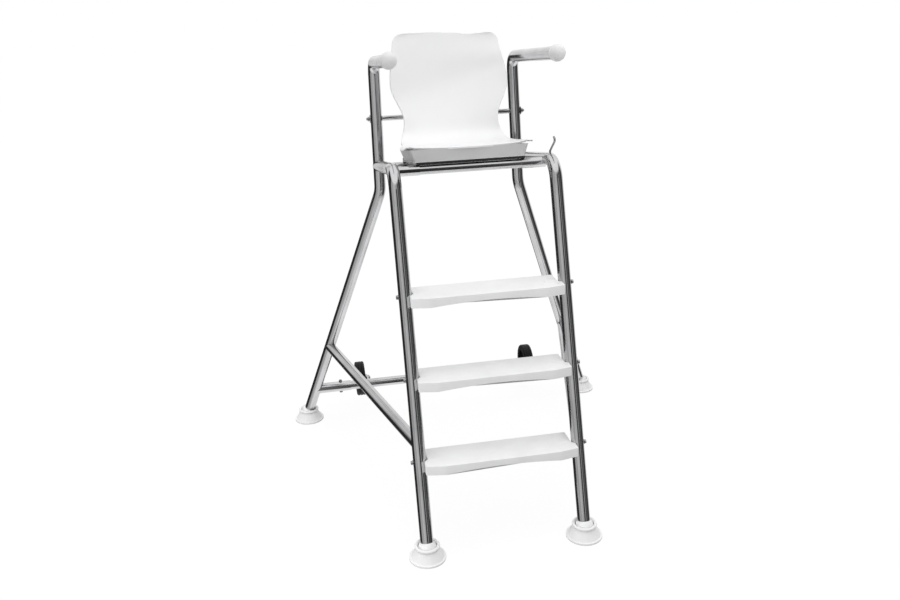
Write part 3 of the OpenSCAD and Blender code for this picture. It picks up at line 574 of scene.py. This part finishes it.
class CHAIR_OT_dark_pieces(bpy.types.Operator):
    """Finish the black seat frame and the wheels"""
    bl_idname = "chair.dark_pieces"
    bl_label = "Dark pieces"

    def execute(self, context):
        coat = steel_material(
            "dark_enamel", (0.28, 0.28, 0.285), roughness=0.2, spread=0.1, run=ACROSS, worn=0.45)
        rubber = moulded_material(
            "wheel_rubber", (0.003, 0.003, 0.003), 0.5, grain=900.0, depth=0.00012, wear=1.6)
        rubber.node_tree.nodes["Principled BSDF"].inputs["Specular IOR Level"].default_value = 0.25
        dress_nodes(((SEAT_FRAME, coat), (WHEELS, rubber)))
        return {"FINISHED"}


def top_edge(x):
    """Height of the top edge at a place across the back."""
    for (x0, z0), (x1, z1) in zip(TOP_EDGE, TOP_EDGE[1:]):
        if x <= x1:
            return ease(z0, z1, (x - x0) / (x1 - x0))
    return TOP_EDGE[-1][1]


def rounded_end(left, radius):
    """Change of the half width where this much length is left before an end with rounded corners."""
    if left >= radius:
        return 0.0
    return math.sqrt(max(radius ** 2 - (radius - left) ** 2, 0.0)) - radius


class SeatForm:
    """The seat as a loft: a side line from lip to top, with a width and a hollow along it."""

    # gaps to the solid's lip and to the tray, and where the waist and the widest part lie along the back
    lip_gap, tray_gap = 0.001, 0.0003
    waist_share, widest_share = 0.05, 0.44
    # the hollow in the pan, the share of the pan where it starts to grow, what is left of it at the top,
    # and how steeply it rises towards the sides
    pan_hollow, hollow_from, top_hollow, hollow_power = 0.006, 0.6, 0.5, 2.2
    # how far the rows of the mesh crowd towards lip and top, and the corner radii there
    crowding, top_round, lip_round = 0.8, 0.033, 0.008
    # at the lip: reach of its detail, the raised part of each side, the left corner drawn down, and the nose
    lip_reach = 0.05
    side_rise, side_place, side_spread = 0.003, 0.9, 0.05
    corner_drop, corner_from, corner_spread = 0.009, 0.93, 0.07
    nose_drop, nose_reach = 0.0025, 0.012

    def __init__(self, seat):
        low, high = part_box("seat_tray")
        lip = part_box("seat_shell")[0][1]
        self.seat = seat
        slope = seat.pan_slope
        self.along = Vector((math.cos(slope), -math.sin(slope)))
        self.up = Vector((math.sin(slope), math.cos(slope)))
        rise = seat.wall / math.cos(slope) + (low[1] - lip) * math.tan(slope)
        self.start = Vector((lip + self.lip_gap, high[2] + self.tray_gap + rise))
        self.bend_turn = math.pi / 2 - seat.back_lean + slope
        self.bend_from = seat.pan_depth
        self.back_from = self.bend_from + seat.bend_radius * self.bend_turn
        self.bend_middle = self.start + self.along * seat.pan_depth + self.up * seat.bend_radius
        lean = Vector((math.cos(seat.back_lean), -math.sin(seat.back_lean)))
        self.back_start = self.bend_middle + lean * seat.bend_radius
        self.back_up = Vector((math.sin(seat.back_lean), math.cos(seat.back_lean)))
        self.length = self.back_from + (seat.back_height - self.back_start.y) / math.cos(seat.back_lean)
        self.waist = self.back_from + self.waist_share * (self.length - self.back_from)
        self.widest = self.back_from + self.widest_share * (self.length - self.back_from)

    def side(self, l):
        """Place and upward normal of the side line at a length."""
        seat = self.seat
        if l < self.bend_from:
            return self.start + self.along * l, self.up
        if l < self.back_from:
            turn = (l - self.bend_from) / seat.bend_radius - seat.pan_slope
            out = Vector((math.sin(turn), -math.cos(turn)))
            return self.bend_middle + out * seat.bend_radius, -out
        place = self.back_start + self.back_up * (l - self.back_from)
        return place, Vector((-self.back_up.y, self.back_up.x))

    def half_width(self, l):
        """Half of the seat's width at a length along the side line."""
        seat = self.seat
        pan_width = seat.waist_width + 2 * seat.knee_flare
        if l < self.bend_from:
            return ease(seat.lip_width, pan_width, (l - seat.lip_bow) / (self.bend_from - seat.lip_bow)) / 2
        if l < self.waist:
            return ease(pan_width, seat.waist_width, (l - self.bend_from) / (self.waist - self.bend_from)) / 2
        if l < self.widest:
            return ease(seat.waist_width, seat.back_width, (l - self.waist) / (self.widest - self.waist)) / 2
        return ease(seat.back_width, seat.top_width, (l - self.widest) / (self.length - self.widest)) / 2

    def hollow(self, l, u):
        """Rise of the surface towards the sides: shallow in the pan, deep at the widest part of the back."""
        full, start = self.seat.hollow, self.hollow_from * self.bend_from
        if l < self.widest:
            deep = ease(self.pan_hollow, full, (l - start) / (self.widest - start))
        else:
            deep = ease(full, self.top_hollow * full, (l - self.widest) / (self.length - self.widest))
        return deep * abs(u) ** self.hollow_power

    def point(self, u, v):
        """Point of the sitting surface: u from -1 to 1 across, v from 0 at the lip to 1 at the top."""
        seat = self.seat
        front = seat.lip_bow * u * u
        share = v - self.crowding * math.sin(2 * math.pi * v) / (2 * math.pi)
        run = (self.length - front) * share
        l = front + run
        half = self.half_width(l + (seat.lip_bow - front) * max(0.0, 1 - run / seat.pan_depth))
        half += rounded_end(self.length - l, self.top_round)
        half += rounded_end(run, self.lip_round)
        place, normal = self.side(l)
        place = place + normal * self.hollow(l, u)
        x = u * half
        wave = max(0.0, (l - self.widest) / (self.length - self.widest)) ** 2 * top_edge(x)
        fade = max(0.0, 1 - run / self.lip_reach) ** 2
        raised = self.side_rise * math.exp(-((abs(u) - self.side_place) / self.side_spread) ** 2)
        curl = raised - self.corner_drop * ease(0, 1, (-u - self.corner_from) / self.corner_spread)
        nose = -self.nose_drop * max(0.0, 1 - run / self.nose_reach) ** 2
        return Vector((x, place.x, place.y + wave + fade * curl + nose))


class CHAIR_OT_seat(bpy.types.Operator):
    """Model the waisted seat shell with its rolled lip and wavy top edge"""
    bl_idname = "chair.seat"
    bl_label = "Seat"

    def execute(self, context):
        form = SeatForm(context.scene.chair_seat)
        object_mode()
        bpy.ops.mesh.primitive_grid_add(x_subdivisions=36, y_subdivisions=84, size=1.0)
        shell = context.active_object
        shell.name = "seat_moulding"
        for vertex in shell.data.vertices:
            vertex.co = form.point(2 * vertex.co.x, vertex.co.y + 0.5)
        settle(shell)
        wall = context.scene.chair_seat.wall
        add_modifier(shell, "SOLIDIFY", thickness=wall, offset=-1.0, use_even_offset=False)
        add_modifier(
            shell, "BEVEL", width=0.42 * wall, segments=4, limit_method="ANGLE", angle_limit=math.radians(60))
        smooth(shell, 50)
        look = context.scene.chair_plastic
        material = moulded_material(
            "seat_moulding", tuple(look.seat_colour), 0.34, grain=1800.0, depth=0.00003, wear=0.985)
        dress(shell, material)
        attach(shell, "frame")
        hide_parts("seat_shell")
        return {"FINISHED"}


class CHAIR_OT_treads(bpy.types.Operator):
    """Model the hollow treads with tapered end blocks, arched skirts and ribs"""
    bl_idname = "chair.treads"
    bl_label = "Treads"

    def execute(self, context):
        size = context.scene.chair_tread
        look = context.scene.chair_plastic
        material = moulded_material(
            "tread_moulding", tuple(look.tread_colour), 0.36, grain=1100.0, depth=0.00008)
        for name in TREADS:
            tread = self.tread(name, size)
            dress(tread, material)
            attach(tread, "frame")
            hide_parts(name)
        return {"FINISHED"}

    def tread(self, name, size):
        """Loft one tread from its skirt up over its top edge, then hollow and stiffen it."""
        low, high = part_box(name)
        axis_y, axis_z = low[1] + BOLT_BACK, high[2] - BOLT_DOWN
        lean = math.tan(math.radians(STILE_LEAN))
        # the end blocks lap in front of the stiles, back to lap_y from the bolts' line
        lap, lap_y, notch_y = 0.012, -0.010, -0.014
        half, crease, inner = high[0], high[0] - size.block, high[0] - lap
        notch, post = NOTCH_RADIUS, half + STILE_OUT
        front, rear = low[1] - axis_y - size.nose, high[1] - axis_y
        crease_round, corner_round = 0.008, 0.004
        spans = 14

        def notch_point(y):
            return Vector((post - math.sqrt(notch ** 2 - y ** 2), y))

        # right half of the plan from the middle of the front to the middle of the rear
        corner = Vector((half, front + size.taper))
        side = Vector((half, -math.sqrt(notch ** 2 - (post - half) ** 2)))
        right = [Vector((crease * k / spans, front)) for k in range(1, spans)]
        right += round_corner(Vector((0, front)), Vector((crease, front)), corner, crease_round, 2)
        right += round_corner(Vector((crease, front)), corner, side, corner_round, 4)
        # from here to hug_end the points follow the leaning stile
        hug = len(right)
        right += [side, notch_point(notch_y), notch_point(lap_y), Vector((inner, lap_y + 0.001))]
        hug_end = len(right)
        end = Vector((inner, rear))
        right += round_corner(Vector((inner, 0)), end, Vector((0, rear)), corner_round, 3)
        right += [Vector((crease * k / spans, rear)) for k in range(spans - 1, 0, -1)]
        left = [Vector((-point.x, point.y)) for point in reversed(right)]
        outline = [Vector((0, front))] + right + [Vector((0, rear))] + left
        hugging = set(range(hug + 1, hug_end + 1)) | set(range(len(outline) - hug_end, len(outline) - hug))

        def ring(inset, z, arched=False):
            """The plan at a height, set in, and raised towards the middle where it is arched."""
            points = []
            for index, point in enumerate(inset_ring(outline, inset) if inset else outline):
                slip = (z - axis_z) * lean if index in hugging else 0.0
                rise = size.arch * max(0.0, 1 - (point.x / crease) ** 2) if arched else 0.0
                points.append(Vector((point.x, axis_y + point.y + slip, z + rise)))
            return points

        drop, chamfer, edge = 0.0025, 0.0006, size.edge
        top, base = high[2] - size.sink, low[2] - size.sink - drop
        turns = [math.pi / 2 * k / 5 for k in range(1, 6)]
        rings = [ring(chamfer, base, True), ring(0, base + chamfer, True), ring(0, top - edge)]
        rings += [ring(edge * (1 - math.cos(t)), top - edge + edge * math.sin(t)) for t in turns]
        tread = loft("moulded_" + name, rings)
        even_normals(tread)
        add_modifier(tread, "SOLIDIFY", thickness=size.wall, offset=-1.0, use_even_offset=False)
        smooth(tread, 32)
        self.stiffen(tread, low, high, size, inner)
        return tread

    def stiffen(self, tread, low, high, size, inner):
        """Add the ribs and bolt bosses under the tread."""
        middle = (low[1] + high[1]) / 2
        lowest = low[2] + size.arch + 0.002
        highest = high[2] - size.sink - size.wall / 2
        thin, clear = 0.0015, 0.002
        deep = (high[1] - low[1]) / 2 - clear
        ribs = [(x * inner, middle, thin, deep) for x in (-0.667, -0.333, 0.0, 0.333, 0.667)]
        ribs.append((0.0, low[1] + BOLT_BACK, inner - clear, thin))
        parts = [tread]
        for x, y, wide, deep in ribs:
            object_mode()
            bpy.ops.mesh.primitive_cube_add(size=2.0, location=(x, y, (lowest + highest) / 2))
            rib = bpy.context.active_object
            rib.scale = (wide, deep, (highest - lowest) / 2)
            settle(rib)
            add_modifier(rib, "BEVEL", width=0.0005, segments=2)
            parts.append(rib)
        for side in (-1, 1):
            object_mode()
            bpy.ops.mesh.primitive_cylinder_add(
                vertices=40, radius=0.010, depth=0.045, rotation=(0.0, math.pi / 2, 0.0),
                location=(side * (inner - 0.0235), low[1] + BOLT_BACK, high[2] - BOLT_DOWN))
            boss = bpy.context.active_object
            settle(boss)
            add_modifier(boss, "BEVEL", width=0.0008, segments=2, limit_method="ANGLE")
            parts.append(boss)
        object_mode()
        for part in parts:
            part.select_set(True)
        bpy.context.view_layer.objects.active = tread
        bpy.ops.object.join()


class CHAIR_OT_tray(bpy.types.Operator):
    """Model the flared tray that carries the pan"""
    bl_idname = "chair.tray"
    bl_label = "Tray"

    def execute(self, context):
        low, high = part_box("seat_tray")
        slope = math.tan(context.scene.chair_seat.pan_slope)
        tall = high[2] - low[2] - (high[1] - low[1]) * slope

        def ring(half, up, bead=0.0):
            """Rounded rectangle on the seat frame's slope; below its foot it is drawn up towards the rear."""
            front, rear = low[1] - bead, high[1] + bead
            outline = []
            corners = [Vector(c) for c in ((half, front), (half, rear), (-half, rear), (-half, front))]
            for k, corner in enumerate(corners):
                outline += round_corner(corners[k - 1], corner, corners[(k + 1) % 4], TRAY_ROUND, 4)
            points = []
            for q in outline:
                share = (q.y - front) / (rear - front)
                height = high[2] - tall - (q.y - front) * slope + (up * (1 - share) if up < 0 else up)
                near = max(0.0, 4 * abs(q.x) / half - 3) * max(0.0, 1 - 6 * share)
                rise = TRAY_CORNER_RISE * min(near, 1.0) if up > 0 else 0.0
                points.append(Vector((q.x + TRAY_SHIFT, q.y, height + rise)))
            return points

        # rings of the bead at the foot: growth of the half width, height, growth to front and rear;
        # then of the rim: growth of the half width, depth below the top
        half = high[0] - TRAY_INSIDE
        rings = [ring(half + out, up, bead) for out, up, bead in (
            (0.0, -0.005, 0.0008), (0.0008, -0.0042, 0.0016), (0.0008, -0.003, 0.0016), (0.0, -0.002, 0.0))]
        rings += [ring(half + out, tall - under) for out, under in (
            (0.0115, 0.003), (TRAY_FLARE, 0.0012), (TRAY_FLARE, 0.0003))]
        tray = loft("tray_moulding", rings)
        even_normals(tray)
        add_modifier(tray, "SOLIDIFY", thickness=TRAY_WALL, offset=-1.0, use_even_offset=False)
        smooth(tray, 40)
        look = context.scene.chair_plastic
        # the tray's colour is a grey plastic with painted shade from under the pan's lip in it
        material = moulded_material(
            "tray_moulding", tuple(look.tray_grey_and_shade), 0.45, grain=1500.0, depth=0.00006)
        dress(tray, material)
        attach(tray, "frame")
        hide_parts("seat_tray")
        return {"FINISHED"}


def ramp_points(ramp, points):
    """Set a colour ramp's stops from (place, brightness) pairs."""
    stops = ramp.color_ramp.elements
    while len(stops) > 1:
        stops.remove(stops[-1])
    stops[0].position = points[0][0]
    stops[0].color = (*[points[0][1]] * 3, 1.0)
    for place, value in points[1:]:
        stop = stops.new(place)
        stop.color = (*[value] * 3, 1.0)


def studio_world():
    """A made-up room for the steel to mirror, a plain sky for matt surfaces, and white for the camera."""
    world = bpy.data.worlds.new("studio")
    bpy.context.scene.world = world
    world.use_nodes = True
    tree = world.node_tree
    tree.nodes.clear()
    link = tree.links.new
    way = add_node(tree, "ShaderNodeTexCoord", -1400, 0)
    parts = add_node(tree, "ShaderNodeSeparateXYZ", -1200, 0)
    link(way.outputs["Generated"], parts.inputs[0])
    turn = add_node(tree, "ShaderNodeMath", -1000, 100, "ARCTAN2")
    back = add_node(tree, "ShaderNodeMath", -1100, -100, "MULTIPLY")
    back.inputs[1].default_value = -1.0
    link(parts.outputs["Y"], back.inputs[0])
    link(parts.outputs["X"], turn.inputs[0])
    link(back.outputs[0], turn.inputs[1])
    share = add_node(tree, "ShaderNodeMapRange", -800, 100, From_Min=-math.pi, From_Max=math.pi)
    link(turn.outputs[0], share.inputs["Value"])

    def at(degrees):
        return (degrees + 180.0) / 360.0

    # brightness of the walls by the turn from the front (-Y) to the right (+X), in degrees:
    # what both heights share, then what differs behind the chair, above the horizon and below it
    front = [
        (at(-90), 0.02), (at(-80), 0.5), (at(-62), 0.62), (at(-54), 0.4), (at(-44), 0.72), (at(-22), 0.7),
        (at(-4), 0.55), (at(2), 0.02), (at(15), 0.02), (at(22), 0.45), (at(28), 0.45), (at(34), 0.05),
        (at(46), 0.04), (at(54), 0.3), (at(60), 0.06), (at(92), 0.04), (at(106), 0.35), (at(116), 1.0)]
    behind = [
        (0.0, 0.9), (at(-166), 0.95), (at(-158), 0.55), (at(-150), 0.85), (at(-136), 0.8), (at(-128), 0.02)]
    upper = add_node(tree, "ShaderNodeValToRGB", -600, 300)
    ramp_points(upper, behind + front + [(1.0, 1.0)])
    behind = [(0.0, 0.7), (at(-172), 0.7), (at(-167), 0.03), (at(-114), 0.03)]
    lower = add_node(tree, "ShaderNodeValToRGB", -600, 100)
    ramp_points(lower, behind + front + [(at(150), 0.85), (1.0, 0.75)])
    for ramp in (upper, lower):
        link(share.outputs["Result"], ramp.inputs["Fac"])
    # the two heights meet in a narrow blend at the horizon
    side = add_node(tree, "ShaderNodeMapRange", -600, 500, From_Min=-0.04, From_Max=0.04)
    link(parts.outputs["Z"], side.inputs["Value"])
    wall = mix_colours(
        tree, -400, 200, side.outputs["Result"], lower.outputs["Color"], upper.outputs["Color"])
    # far above and far below, the walls give way to the bright ends
    height = add_node(tree, "ShaderNodeValToRGB", -600, -200)
    lift = add_node(tree, "ShaderNodeMapRange", -800, -200, From_Min=-1.0, From_Max=1.0)
    link(parts.outputs["Z"], lift.inputs["Value"])

    def level(z):
        return (z + 1.0) / 2.0

    ramp_points(height, [
        (0.0, 1.0), (level(-0.66), 1.0), (level(-0.52), 0.0), (level(0.62), 0.0), (level(0.74), 1.0),
        (1.0, 1.0)])
    link(lift.outputs["Result"], height.inputs["Fac"])
    room = mix_colours(tree, -300, 0, height.outputs["Color"], wall, ENDS)

    # matt surfaces see a plain sky, brighter overhead
    tilt = add_node(tree, "ShaderNodeVectorMath", -600, -500, "DOT_PRODUCT")
    tilt.inputs[1].default_value = (0.0, 0.0, SKY_RISE)
    link(way.outputs["Generated"], tilt.inputs[0])
    sky = add_node(tree, "ShaderNodeMath", -400, -500, "ADD")
    sky.inputs[1].default_value = SKY_LEVEL
    link(tilt.outputs["Value"], sky.inputs[0])

    seen = add_node(tree, "ShaderNodeLightPath", -500, 400)
    lit = mix_colours(tree, -100, -100, seen.outputs["Is Glossy Ray"], sky.outputs[0], room)
    shown = mix_colours(tree, 100, 100, seen.outputs["Is Camera Ray"], lit, WHITE)
    glow = add_node(tree, "ShaderNodeBackground", 300, 0, Strength=1.0)
    link(shown, glow.inputs["Color"])
    out = add_node(tree, "ShaderNodeOutputWorld", 500, 0)
    link(glow.outputs[0], out.inputs["Surface"])


def floor_material():
    """Pale floor: white to the camera with part of the shadow kept, and open to reflections of the room."""
    material, tree, shader, _ = base_material("pale_floor", (0.45, 0.45, 0.45), 0.0, 0.9)
    link = tree.links.new
    shader.inputs["Specular IOR Level"].default_value = 0.0
    glow = add_node(tree, "ShaderNodeEmission", -200, -300, Strength=FLOOR_GLOW)
    seen = add_node(tree, "ShaderNodeLightPath", -500, -100)
    share = add_node(tree, "ShaderNodeMath", -300, -100, "MULTIPLY")
    share.inputs[1].default_value = GLOW_SHARE
    link(seen.outputs["Is Camera Ray"], share.inputs[0])
    lit = add_node(tree, "ShaderNodeMixShader", 100, -100)
    link(share.outputs[0], lit.inputs["Fac"])
    link(shader.outputs[0], lit.inputs[1])
    link(glow.outputs[0], lit.inputs[2])
    clear = add_node(tree, "ShaderNodeBsdfTransparent", 100, -300)
    mix = add_node(tree, "ShaderNodeMixShader", 300, -100)
    link(seen.outputs["Is Glossy Ray"], mix.inputs["Fac"])
    link(lit.outputs[0], mix.inputs[1])
    link(clear.outputs[0], mix.inputs[2])
    link(mix.outputs[0], tree.nodes["Material Output"].inputs["Surface"])
    return material


class CHAIR_OT_stage(bpy.types.Operator):
    """Make the floor, the light and the camera"""
    bl_idname = "chair.stage"
    bl_label = "Stage"

    def execute(self, context):
        look = context.scene.chair_stage
        context.scene.view_settings.view_transform = "Standard"
        object_mode()
        bpy.ops.mesh.primitive_plane_add(size=look.floor_size, location=(0.0, 0.0, 0.0))
        floor = context.active_object
        floor.name = "floor"
        settle(floor)
        dress(floor, floor_material())
        studio_world()
        for name, place, target, size, spread, share in LAMPS:
            self.soft_box(context, name, place, target, size, spread, share * look.lamp_power)

        camera = bpy.data.cameras.new("camera")
        camera.lens = look.lens
        camera.sensor_width = SENSOR_WIDTH
        camera.clip_end = VIEW_END
        camera_object = bpy.data.objects.new("camera", camera)
        context.scene.collection.objects.link(camera_object)
        yaw, pitch, roll = look.camera_yaw, look.camera_pitch, look.camera_roll
        ahead = Vector((math.sin(yaw) * math.cos(pitch), math.cos(yaw) * math.cos(pitch), -math.sin(pitch)))
        right = Vector((math.cos(yaw), -math.sin(yaw), 0.0))
        up = right.cross(ahead)
        turned_right = math.cos(roll) * right + math.sin(roll) * up
        turned_up = -math.sin(roll) * right + math.cos(roll) * up
        turn = Matrix((turned_right, turned_up, -ahead)).transposed()
        camera_object.matrix_world = Matrix.Translation(look.camera_place) @ turn.to_4x4()
        context.scene.camera = camera_object
        return {"FINISHED"}

    def soft_box(self, context, name, place, target, size, spread, power):
        """Hang a square lamp that lights matt surfaces and keeps out of reflections."""
        lamp = bpy.data.lights.new(name, "AREA")
        lamp.shape = "SQUARE"
        lamp.size = size
        lamp.spread = math.radians(spread)
        lamp.energy = power
        hung = bpy.data.objects.new(name, lamp)
        context.scene.collection.objects.link(hung)
        hung.location = place
        hung.rotation_euler = (Vector(target) - hung.location).to_track_quat("-Z", "Y").to_euler()
        hung.visible_glossy = False


class CHAIR_PT_panel(bpy.types.Panel):
    """Lists the chair's steps and settings"""
    bl_idname = "CHAIR_PT_panel"
    bl_label = "Lifeguard chair"
    bl_space_type = "VIEW_3D"
    bl_region_type = "UI"
    bl_category = "Chair"

    def draw(self, context):
        for operator in OPERATORS:
            self.layout.operator(operator.bl_idname)
        for group in SETTINGS:
            box = self.layout.box()
            values = getattr(context.scene, group)
            for name in values.bl_rna.properties.keys():
                if name not in ("rna_type", "name"):
                    box.prop(values, name)


SETTINGS = {
    "chair_steel": ChairSteelSettings,
    "chair_plastic": ChairPlasticSettings,
    "chair_seat": ChairSeatSettings,
    "chair_tread": ChairTreadSettings,
    "chair_stage": ChairStageSettings,
}
OPERATORS = (
    CHAIR_OT_steel, CHAIR_OT_mouldings, CHAIR_OT_dark_pieces, CHAIR_OT_seat, CHAIR_OT_treads, CHAIR_OT_tray,
    CHAIR_OT_stage)


def register():
    for name, group in SETTINGS.items():
        bpy.utils.register_class(group)
        setattr(bpy.types.Scene, name, PointerProperty(type=group))
    for operator in OPERATORS:
        bpy.utils.register_class(operator)
    bpy.utils.register_class(CHAIR_PT_panel)


def unregister():
    bpy.utils.unregister_class(CHAIR_PT_panel)
    for operator in reversed(OPERATORS):
        bpy.utils.unregister_class(operator)
    for name, group in SETTINGS.items():
        delattr(bpy.types.Scene, name)
        bpy.utils.unregister_class(group)


def main():
    register()
    for operator in OPERATORS:
        family, step = operator.bl_idname.split(".")
        getattr(getattr(bpy.ops, family), step)()


if __name__ == "__main__":
    main()
